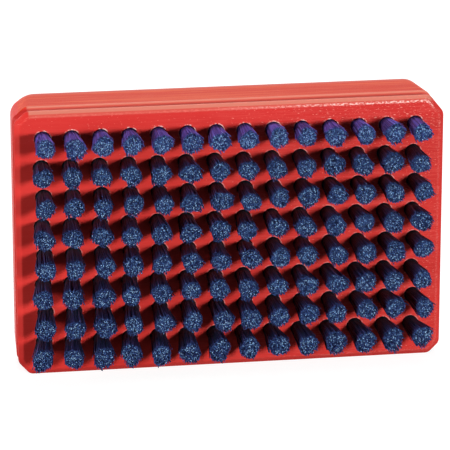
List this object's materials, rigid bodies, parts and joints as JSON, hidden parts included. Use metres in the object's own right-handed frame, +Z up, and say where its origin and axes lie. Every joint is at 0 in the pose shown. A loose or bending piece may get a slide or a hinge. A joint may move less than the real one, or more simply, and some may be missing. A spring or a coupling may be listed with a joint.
{
  "type": "ski wax brush",
  "caption": "Rectangular hand brush for ski bases: machined block with finger groove and cut corners, and a grid of stiff flat-trimmed nylon tufts.",
  "frame": {"origin": "on the surface that the brush stands on, under the middle of the whole brush's bounding box", "axes": "+X along the block's length, +Y from the bristle tips to the block's back, +Z up across the block's width"},
  "size_m": [0.12, 0.0336, 0.076],
  "materials": {
    "block": "machined satin plastic with fine lengthwise tool marks",
    "bristles": "bundled nylon filaments, cut ends speckled"
  },
  "bodies": {
    "root": {"handle_block": "block", "bristle_row_01": "bristles", "bristle_row_02": "bristles", "bristle_row_03": "bristles", "bristle_row_04": "bristles", "bristle_row_05": "bristles", "bristle_row_06": "bristles", "bristle_row_07": "bristles", "bristle_row_08": "bristles", "bristle_row_09": "bristles", "bristle_row_10": "bristles", "bristle_row_11": "bristles", "bristle_row_12": "bristles", "bristle_row_13": "bristles", "bristle_row_14": "bristles"}
  },
  "joints": []
}
